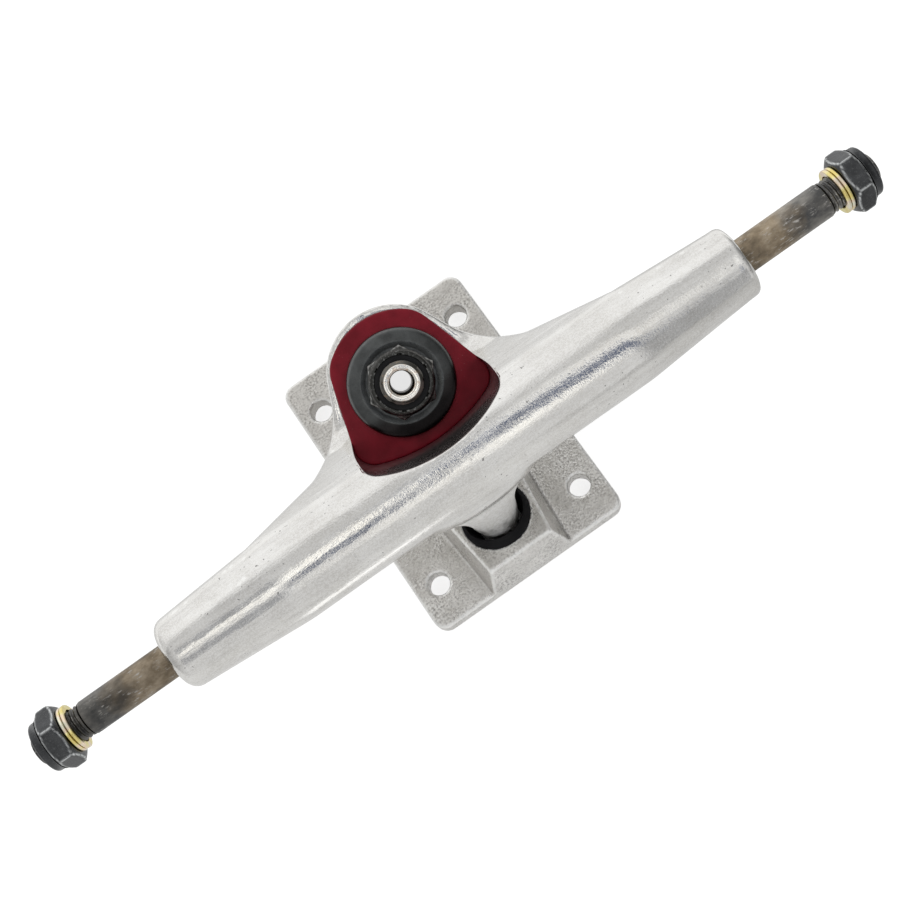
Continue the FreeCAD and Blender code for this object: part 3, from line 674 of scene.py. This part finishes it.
class Graph:
    """Short words for building a node tree. Sizes are millimetres on the object."""

    def __init__(self, tree):
        self.tree = tree
        tree.nodes.clear()

    def add(self, kind, inputs=None, **settings):
        node = self.tree.nodes.new(kind)
        for key, value in settings.items():
            setattr(node, key, value)
        for key, value in (inputs or {}).items():
            self.put(node, key, value)
        return node

    def put(self, node, key, value):
        socket = node.inputs[key]
        if isinstance(value, bpy.types.NodeSocket):
            self.tree.links.new(value, socket)
        elif isinstance(value, bpy.types.Node):
            self.tree.links.new(value.outputs[0], socket)
        else:
            socket.default_value = value

    def math(self, how, a, b=0.0):
        return self.add("ShaderNodeMath", {0: a, 1: b}, operation=how).outputs[0]

    def times(self, a, b):
        return self.math("MULTIPLY", a, b)

    def parts(self, vector):
        """The X, Y and Z of a vector."""
        return self.add("ShaderNodeSeparateXYZ", {0: vector}).outputs

    def place(self):
        """The X, Y and Z of the shaded spot in the object's frame, in metres."""
        return self.parts(self.add("ShaderNodeTexCoord").outputs["Object"])

    def noise(self, size, detail=3.0, rough=0.55, stretch=(1, 1, 1)):
        """Noise whose lumps are about size wide, longer along an axis by its stretch."""
        where = self.add("ShaderNodeTexCoord").outputs["Object"]
        factor = [1 / MM / s for s in stretch]
        spots = self.add("ShaderNodeMapping", {"Vector": where, "Scale": factor})
        inputs = {"Vector": spots, "Scale": 1.0 / size, "Detail": detail, "Roughness": rough}
        return self.add("ShaderNodeTexNoise", inputs).outputs["Fac"]

    def ramp(self, fac, stops):
        """Colours or plain levels along a value."""
        node = self.add("ShaderNodeValToRGB", {"Fac": fac})
        ramp = node.color_ramp
        stops = list(stops)
        while len(ramp.elements) < len(stops):
            ramp.elements.new(0.5)
        for element, (at, colour) in zip(ramp.elements, stops):
            element.position = at
            element.color = rgb(*colour) if isinstance(colour, tuple) else grey(colour)
        return node.outputs["Color"]

    def span(self, value, low, high, new_low=0.0, new_high=1.0):
        inputs = {"Value": value, "From Min": low, "From Max": high, "To Min": new_low, "To Max": new_high}
        return self.add("ShaderNodeMapRange", inputs).outputs[0]

    def mix(self, fac, a, b, how="MIX"):
        node = self.add("ShaderNodeMix", data_type="RGBA", blend_type=how)
        self.put(node, 0, fac)
        self.put(node, 6, a)
        self.put(node, 7, b)
        return node.outputs[2]

    def bump(self, height, strength, depth, normal=None):
        inputs = {"Height": height, "Strength": strength, "Distance": depth * MM}
        if normal is not None:
            inputs["Normal"] = normal
        return self.add("ShaderNodeBump", inputs).outputs[0]

    def wear_and_highlight(self, low=0.52, high=0.60):
        """1 on the convex edges of a finely meshed piece."""
        point = self.add("ShaderNodeNewGeometry").outputs["Pointiness"]
        return self.span(point, low, high)

    def marked(self, name):
        return self.add("ShaderNodeAttribute", attribute_name=name).outputs["Fac"]

    def seen(self, path):
        """1 for what the camera sees, also through glass."""
        return self.math("MAXIMUM", path.outputs["Is Camera Ray"], path.outputs["Is Transmission Ray"])


def rgb(r, g, b):
    return (r, g, b, 1.0)


def grey(level):
    return rgb(level, level, level)


def scaled(colour, factor):
    return rgb(*[channel * factor for channel in colour])


def new_material(name, metallic=0.0):
    made = bpy.data.materials.new(name)
    made.use_nodes = True
    graph = Graph(made.node_tree)
    shader = graph.add("ShaderNodeBsdfPrincipled", {"Metallic": metallic})
    graph.add("ShaderNodeOutputMaterial", {"Surface": shader})
    return made, graph, shader


def tumbled_casting():
    """The hanger: pale cast aluminium, tumbled bright, with streaks along the barrel and a matt stem."""
    made, g, shader = new_material("hanger casting")
    clouds = g.noise(10.0, 4.0, 0.6)
    streaks = g.noise(1.4, 4.0, 0.65, stretch=(16, 1, 1))
    fine_grain_and_glints = g.noise(0.40, 2.0, 0.6)
    # Where the seat's wall is marked, the colour is a painted reflection of the red bushing and painted
    # shade, and the finish is smoother.
    wall = g.marked("seat_wall_painted_shade")
    where = g.place()
    stem = g.times(g.span(where["Z"], 0.049, 0.040), g.span(where["Y"], -0.018, -0.024))

    bright = g.mix(g.span(clouds, 0.35, 0.65), rgb(0.66, 0.645, 0.615), rgb(0.79, 0.78, 0.755))
    bright = g.mix(g.span(streaks, 0.45, 0.72, 0.0, 0.45), bright, rgb(0.46, 0.445, 0.43))
    # Fine light flecks: the grain's own tone and painted glints.
    bright = g.mix(g.span(fine_grain_and_glints, 0.40, 0.60, 0.0, 0.35), bright, rgb(0.95, 0.95, 0.94))
    dirt = g.times(g.span(g.noise(0.8, 1.0, 0.5), 0.70, 0.74), g.span(clouds, 0.46, 0.58))
    bright = g.mix(g.times(dirt, 0.7), bright, rgb(0.08, 0.075, 0.07))
    # Convex edges painted almost white: rubbed edges and a painted highlight along them.
    bright = g.mix(g.times(g.wear_and_highlight(), 0.6), bright, rgb(0.92, 0.92, 0.90))

    # Painted reflection: the nose is painted darker in patches near the pivot cup, standing in for the black
    # cup it reflects.
    cup_painted_reflection = g.times(g.span(where["Z"], 0.024, 0.016), g.span(g.noise(3.0, 3.0), 0.40, 0.60))
    matt = g.mix(g.span(g.noise(0.7, 3.0, 0.65), 0.4, 0.6), rgb(0.82, 0.81, 0.785), rgb(0.97, 0.965, 0.95))
    matt = g.mix(cup_painted_reflection, matt, rgb(0.16, 0.155, 0.15))
    # The seat's wall takes a dark reddish grey here: a painted reflection of the red bushing and painted
    # shade.
    g.put(shader, "Base Color", g.mix(wall, g.mix(stem, bright, matt), rgb(0.40, 0.32, 0.327)))
    g.put(shader, "Metallic", g.span(stem, 0, 1, 1.0, 0.72))
    rough = g.span(g.mix(0.5, clouds, fine_grain_and_glints), 0.35, 0.65, 0.07, 0.15)
    g.put(shader, "Roughness", g.mix(wall, g.mix(stem, rough, grey(0.55)), grey(0.34)))

    calm = g.math("SUBTRACT", 1.0, wall)
    lumps = g.bump(g.noise(3.2, 3.0, 0.55, stretch=(2.5, 1, 1)), g.times(calm, 0.6), 0.15)
    scuffs = g.bump(g.noise(0.55, 3.0, 0.65, stretch=(5, 1, 1)), g.times(calm, 0.5), 0.045, lumps)
    g.put(shader, "Normal", g.bump(fine_grain_and_glints, g.times(calm, 0.45), 0.045, scuffs))
    return made


def sandy_casting():
    """The baseplate: a rougher casting with a sandy skin, coarser in places, darker at the kingpin's end."""
    made, g, shader = new_material("baseplate casting", 1.0)
    clouds = g.noise(8.0, 4.0, 0.6)
    patch = g.span(g.noise(9.0, 2.0, 0.5), 0.42, 0.62, 0.35, 1.0)
    sand_grain_and_glints = g.noise(0.55, 2.0, 0.6)
    colour = g.mix(g.span(clouds, 0.35, 0.65), rgb(0.66, 0.645, 0.62), rgb(0.84, 0.825, 0.80))
    # Dark and light flecks in the sandy patches: the grain's own tone, and painted glints and dark
    # reflections of its facets.
    dark = g.times(g.span(sand_grain_and_glints, 0.52, 0.62), patch)
    light = g.times(g.span(sand_grain_and_glints, 0.46, 0.38), patch)
    colour = g.mix(g.times(dark, 0.75), colour, rgb(0.30, 0.29, 0.28))
    colour = g.mix(g.times(light, 0.7), colour, rgb(0.95, 0.95, 0.93))
    shade = g.mix(g.span(g.place()["Y"], -0.01, 0.025), grey(1), rgb(0.80, 0.79, 0.77))
    colour = g.mix(1.0, colour, shade, "MULTIPLY")
    # Convex edges painted near white: rubbed edges and a painted highlight along them.
    g.put(shader, "Base Color", g.mix(g.times(g.wear_and_highlight(0.51, 0.54), 0.95), colour, rgb(1.0, 1.0, 0.98)))
    g.put(shader, "Roughness", g.span(clouds, 0.35, 0.65, 0.26, 0.38))
    lumps = g.bump(g.noise(1.8, 3.0, 0.55), 0.8, 0.2)
    g.put(shader, "Normal", g.bump(sand_grain_and_glints, patch, 0.25, lumps))
    return made


def dark_steel():
    """The axle: brown clouds, dark grey towards the nuts, with bright rubbed scratches."""
    made, g, shader = new_material("axle steel", 1.0)
    where = g.place()
    clouds = g.noise(5.0, 5.0, 0.65, stretch=(1.5, 1, 1))
    places = (0.35, 0.5, 0.68)
    brown = g.ramp(clouds, zip(places, ((0.13, 0.105, 0.075), (0.25, 0.20, 0.14), (0.44, 0.37, 0.28))))
    dull = g.ramp(clouds, zip(places, ((0.09, 0.09, 0.09), (0.17, 0.165, 0.155), (0.30, 0.285, 0.26))))
    out = g.math("ADD", g.math("ABSOLUTE", where["X"]), g.span(g.noise(6.0, 3.0), 0, 1, -0.006, 0.006))
    colour = g.mix(g.span(out, 0.084, 0.090), brown, dull)
    scratch = g.span(g.noise(0.5, 4.0, 0.75, stretch=(4, 1, 1)), 0.56, 0.64)
    worn = g.times(scratch, g.span(g.noise(4.0, 2.0), 0.46, 0.58))
    colour = g.mix(g.times(worn, 0.75), colour, rgb(0.62, 0.60, 0.57))
    side = g.span(where["X"], -0.09, 0.09)
    g.put(shader, "Base Color", g.mix(1.0, colour, g.mix(side, grey(0.80), grey(1.25)), "MULTIPLY"))
    g.put(shader, "Roughness", g.span(clouds, 0.3, 0.7, 0.5, 0.38))
    g.put(shader, "Normal", g.bump(g.noise(0.4, 3.0, 0.6, stretch=(3, 1, 1)), 0.45, 0.05))
    return made


def black_steel(name, colour, edge_colour, roughness, scuff, painted_shade=False):
    """Black oxide over steel, a dark metal that is rubbed bright at the edges and scuffed between; the bright
    edges are partly a painted highlight.

    On request a piece gets painted shade, darker where it faces the pivot."""
    made, g, shader = new_material(name, 1.0)
    wear_and_highlight = g.noise(0.5, 3.0, 0.7)
    # The marked edges are lightened towards edge_colour: rubbed edges, and a painted highlight on the nuts'
    # chamfers and the cup washer's rim.
    rim = g.times(g.marked("rubbed_and_highlit"), g.span(wear_and_highlight, 0.32, 0.46))
    tint = g.mix(g.span(g.noise(3.0, 3.0), 0.3, 0.7), scaled(colour, 0.75), scaled(colour, 1.3))
    tint = g.mix(g.times(g.span(wear_and_highlight, 0.56, 0.66), scuff), tint, scaled(edge_colour, 0.6))
    tint = g.mix(rim, tint, rgb(*edge_colour))
    if painted_shade:
        # Painted shade: the colour goes almost black where the piece faces the pivot.
        faces = g.parts(g.add("ShaderNodeNewGeometry").outputs["Normal"])
        tint = g.mix(g.span(faces["Y"], -0.42, -0.60, 0.0, 0.7), tint, rgb(0.005, 0.006, 0.006))
    g.put(shader, "Base Color", tint)
    g.put(shader, "Roughness", g.span(wear_and_highlight, 0.3, 0.7, roughness, roughness + 0.08))
    g.put(shader, "Normal", g.bump(wear_and_highlight, 0.5 * scuff, 0.05))
    return made


def bright_steel():
    """The kingpin: a machined bright end with a few brown stains over a dark oiled thread."""
    made, g, shader = new_material("kingpin steel", 1.0)
    stains = g.span(g.noise(0.9, 3.0, 0.6), 0.54, 0.70)
    bright = g.mix(stains, rgb(1.0, 0.97, 0.90), rgb(0.66, 0.50, 0.37))
    dull = g.mix(stains, rgb(0.12, 0.115, 0.105), rgb(0.24, 0.19, 0.14))
    g.put(shader, "Base Color", g.mix(g.marked("rubbed_and_highlit"), dull, bright))
    g.put(shader, "Roughness", g.span(stains, 0, 1, 0.18, 0.34))
    g.put(shader, "Normal", g.bump(g.noise(0.25, 2.0), 0.3, 0.03))
    return made


def yellow_zinc():
    """Zinc plating that runs from gold to pink and pale green."""
    made, g, shader = new_material("yellow zinc", 1.0)
    stops = [
        (0.3, (0.82, 0.68, 0.25)),
        (0.45, (0.87, 0.79, 0.40)),
        (0.55, (0.88, 0.71, 0.54)),
        (0.68, (0.86, 0.84, 0.68)),
    ]
    g.put(shader, "Base Color", g.ramp(g.noise(3.0, 1.0, 0.5), stops))
    g.put(shader, "Roughness", 0.22)
    g.put(shader, "Normal", g.bump(g.noise(0.4, 2.0), 0.15, 0.02))
    return made


def urethane(name, base, deep, roughness, specks):
    """Cast urethane: deep even colour, a dull sheen, fine marks and dust."""
    made, g, shader = new_material(name)
    clouds = g.noise(6.0, 3.0, 0.55)
    colour = g.mix(g.span(clouds, 0.35, 0.65), rgb(*base), rgb(*deep))
    dust = g.span(g.noise(0.35, 1.0, 0.4), 0.74, 0.78)
    patch = g.span(g.noise(5.0, 2.0), 0.5, 0.65)
    g.put(shader, "Base Color", g.mix(g.times(g.times(dust, patch), specks), colour, rgb(0.45, 0.2, 0.2)))
    g.put(shader, "Roughness", g.span(clouds, 0.3, 0.7, roughness, roughness + 0.1))
    g.put(shader, "Specular IOR Level", 0.18)
    g.put(shader, "Normal", g.bump(g.noise(0.8, 3.0, 0.6), 0.2, 0.05))
    return made


def dress(piece, made):
    piece.data.materials.clear()
    piece.data.materials.append(made)


# Studio

# A pinhole camera fitted to the photograph: its focal length and picture width in pixels, its place and axes
FOCAL_PIXELS = 1568.54
PHOTO_PIXELS = 900.0
SENSOR_WIDTH = 36.0
CAMERA_SPOT = (0.000203, -0.119852, 0.370888)
CAMERA_RIGHT = (0.817599, -0.547573, -0.178032)
CAMERA_UP = (0.575788, 0.77766, 0.252415)
CAMERA_BACK = (0.000233, -0.308883, 0.9511)

# The table as metal reflects it: its level at the left and right, its level at the kingpin's end, and a
# brighter strip beside the pivot's end
TABLE_LEVELS = (0.40, 0.20)
TABLE_FAR_LEVEL = 0.66
STRIP_LEVEL = 0.6
STRIP_Y = -0.094

# What metal sees overhead: the angle in degrees, positive towards the pivot's end of the truck, and the level
SKY = (
    (-90, 1.02), (-60, 1.05), (-42, 1.06), (-34, 1.0), (-26, 0.70),
    (-18, 0.68), (-8, 0.72), (60, 0.74), (90, 0.76),
)

# White cards and black flags over the truck. Angle in degrees and its slant along the axle, half width,
# place and half width along the axle as a share, change of brightness, warmth
CARDS = (
    (10, 160, 11, 0.10, 0.17, -0.64, 0.5),
    (4, -105, 7, -0.10, 0.10, 0.90, 0.3),
    (23, 0, 7, -0.30, 0.08, 0.60, 0.3),
    (30, 190, 10, 0.03, 0.09, 0.50, 0.3),
    (-1, 75, 13, 0.18, 0.17, 0.32, 0.2),
    (30, 0, 9, -0.085, 0.075, -0.58, 0.4),
    (45, 0, 11, -0.30, 0.08, -0.36, 0.2),
    (10, 0, 9, -0.31, 0.07, -0.34, 0.2),
    (45, 0, 11, -0.01, 0.11, 0.32, 0.2),
    (78, 0, 34, 0.30, 0.10, -0.30, 0.1),
    (-24, 0, 8, 0.03, 0.09, 0.20, 0.0),
)


def add_camera():
    data = bpy.data.cameras.new("camera")
    data.lens = FOCAL_PIXELS * SENSOR_WIDTH / PHOTO_PIXELS
    data.sensor_width = SENSOR_WIDTH
    data.clip_start = 0.01
    camera = bpy.data.objects.new("camera", data)
    bpy.context.scene.collection.objects.link(camera)
    turn = Matrix((CAMERA_RIGHT, CAMERA_UP, CAMERA_BACK)).transposed().to_4x4()
    camera.matrix_world = Matrix.Translation(CAMERA_SPOT) @ turn
    bpy.context.scene.camera = camera


def add_stage():
    """A white table that keeps a soft shadow, just below the plate."""
    mesh = bpy.data.meshes.new("table")
    shape = bmesh.new()
    bmesh.ops.create_circle(shape, cap_ends=True, segments=96, radius=3.0)
    shape.to_mesh(mesh)
    shape.free()
    table = bpy.data.objects.new("table", mesh)
    table.location = (0, 0, -0.0002)
    bpy.context.scene.collection.objects.link(table)

    made = bpy.data.materials.new("table white")
    made.use_nodes = True
    g = Graph(made.node_tree)
    path = g.add("ShaderNodeLightPath")
    where = g.place()
    off = g.math("ABSOLUTE", g.math("SUBTRACT", where["Y"], STRIP_Y))
    strip = g.span(off, 0.008, 0.018, STRIP_LEVEL, 0.0)
    strip = g.times(strip, g.span(where["X"], -0.004, -0.02))
    strip = g.times(strip, g.span(where["X"], -0.068, -0.052))
    level = g.span(where["X"], 0.03, 0.15, *TABLE_LEVELS)
    level = g.math("MAXIMUM", level, g.span(where["Y"], 0.02, 0.08, 0.0, TABLE_FAR_LEVEL))
    mirrored = g.times(path.outputs["Is Glossy Ray"], g.math("ADD", strip, level))
    glow = g.math("MAXIMUM", g.times(g.seen(path), 0.75), mirrored)
    diffuse = g.add("ShaderNodeBsdfDiffuse", {"Color": rgb(0.50, 0.50, 0.495)})
    emission = g.add("ShaderNodeEmission", {"Color": grey(1), "Strength": glow})
    both = g.add("ShaderNodeAddShader", {0: diffuse, 1: emission})
    g.add("ShaderNodeOutputMaterial", {"Surface": both})
    mesh.materials.append(made)


def add_world():
    """Studio light: even all round, with the cards and flags above that show in metal."""
    world = bpy.data.worlds.new("studio")
    bpy.context.scene.world = world
    world.use_nodes = True
    g = Graph(world.node_tree)
    way = g.parts(g.add("ShaderNodeTexCoord").outputs["Generated"])
    tilt = g.math("ARCTAN2", g.times(way["Y"], -1.0), way["Z"])
    tilt = g.times(tilt, 180 / math.pi)
    sky = g.ramp(g.span(tilt, -90, 90), [((angle + 90) / 180, level) for angle, level in SKY])
    ends = [g.span(way["X"], 0.42, 0.85, 1.0, 0.32), g.span(way["X"], -0.42, -0.85, 1.0, 0.72)]
    sky = g.mix(1.0, sky, g.times(*ends), "MULTIPLY")
    for angle, slant, half, along, reach, level, warm in CARDS:
        middle = g.math("ADD", g.times(way["X"], float(slant)), float(angle))
        across = g.math("ABSOLUTE", g.math("DIVIDE", g.math("SUBTRACT", tilt, middle), half))
        aside = g.math("ABSOLUTE", g.math("DIVIDE", g.math("SUBTRACT", way["X"], along), reach))
        card = g.times(*[g.span(far, 0.6, 1.0, 1.0, 0.0) for far in (across, aside)])
        change = abs(level)
        light = rgb(change * (1 + 0.1 * warm), change, change * (1 - 0.3 * warm))
        sky = g.mix(card, sky, g.mix(1.0, sky, light, "ADD" if level > 0 else "SUBTRACT"))
    path = g.add("ShaderNodeLightPath")
    plain = g.mix(path.outputs["Is Glossy Ray"], grey(0.60), sky)
    shine = g.add("ShaderNodeBackground", {"Color": g.mix(g.seen(path), plain, grey(1)), "Strength": 1.0})
    g.add("ShaderNodeOutputWorld", {"Surface": shine})


def add_lamp(name, spot, size, power):
    """A square softbox that looks at the truck. Metal shows the sky's bands and cards in its place."""
    data = bpy.data.lights.new(name, "AREA")
    data.shape = "RECTANGLE"
    data.size = data.size_y = size
    data.energy = power
    lamp = bpy.data.objects.new(name, data)
    lamp.location = spot
    way = Vector((0, 0, 0.03)) - Vector(spot)
    lamp.rotation_euler = way.to_track_quat("-Z", "Y").to_euler()
    lamp.visible_glossy = False
    bpy.context.scene.collection.objects.link(lamp)


def main():
    add_camera()
    add_stage()
    add_world()
    add_lamp("softbox left", (-0.7, 0.5, 0.8), 0.6, 2.2)
    add_lamp("softbox right", (0.8, -0.3, 0.9), 0.5, 1.4)
    bpy.context.scene.view_settings.view_transform = "Standard"

    cast = hanger()
    aluminium = tumbled_casting()
    dress(cast, aluminium)
    dress(seat_lip(cast), aluminium)

    dress(baseplate(), sandy_casting())

    red_rubber = urethane(
        "red urethane", (0.24, 0.010, 0.022), (0.16, 0.006, 0.014), roughness=0.38, specks=0.5)
    black_rubber = urethane(
        "black urethane", (0.010, 0.010, 0.011), (0.006, 0.006, 0.007), roughness=0.42, specks=0.1)
    dress(pivot_cup(), black_rubber)
    for name in ("kingpin_nut_insert", "left_axle_nut_insert", "right_axle_nut_insert"):
        dress(nodes[name], black_rubber)
    for bushing in (upper_bushing(), lower_bushing()):
        dress(bushing, red_rubber)
    # The cup washers are painted darker where they face the pivot, a painted shade.
    cup_black = black_steel(
        "cup washer black", (0.086, 0.090, 0.090), (0.26, 0.26, 0.26), roughness=0.26, scuff=0.1, painted_shade=True)
    for washer in (cup_washer(), lower_washer()):
        dress(washer, cup_black)
    dress(axle(), dark_steel())
    dress(kingpin(), bright_steel())
    # Its marked edges are lightened: rubbed edges, and partly a painted highlight on the chamfer.
    nut = lock_nut("kingpin_lock_nut", "kingpin_nut", ON_KINGPIN, KINGPIN_NUT, KINGPIN_HOLE, punched=True)
    dress(nut, black_steel(
        "scuffed nut black", (0.050, 0.050, 0.047), (0.34, 0.34, 0.33), roughness=0.26, scuff=0.8))

    # Their edges are lightened to a near white grey: rubbed edges, and a painted highlight on the chamfers.
    nut_black = black_steel(
        "nut black", (0.065, 0.067, 0.070), (0.70, 0.72, 0.72), roughness=0.24, scuff=0.12)
    zinc = yellow_zinc()
    for side, turn in AXLE_NUT_DEGREES:
        node = side + "_axle_nut"
        nut = lock_nut(side + "_lock_nut", node, ON_AXLE[side], AXLE_NUT, AXLE_HOLE, math.radians(turn))
        dress(nut, nut_black)
        for layer in ("inner", "outer"):
            dress(speed_washer(side, layer), zinc)


main()
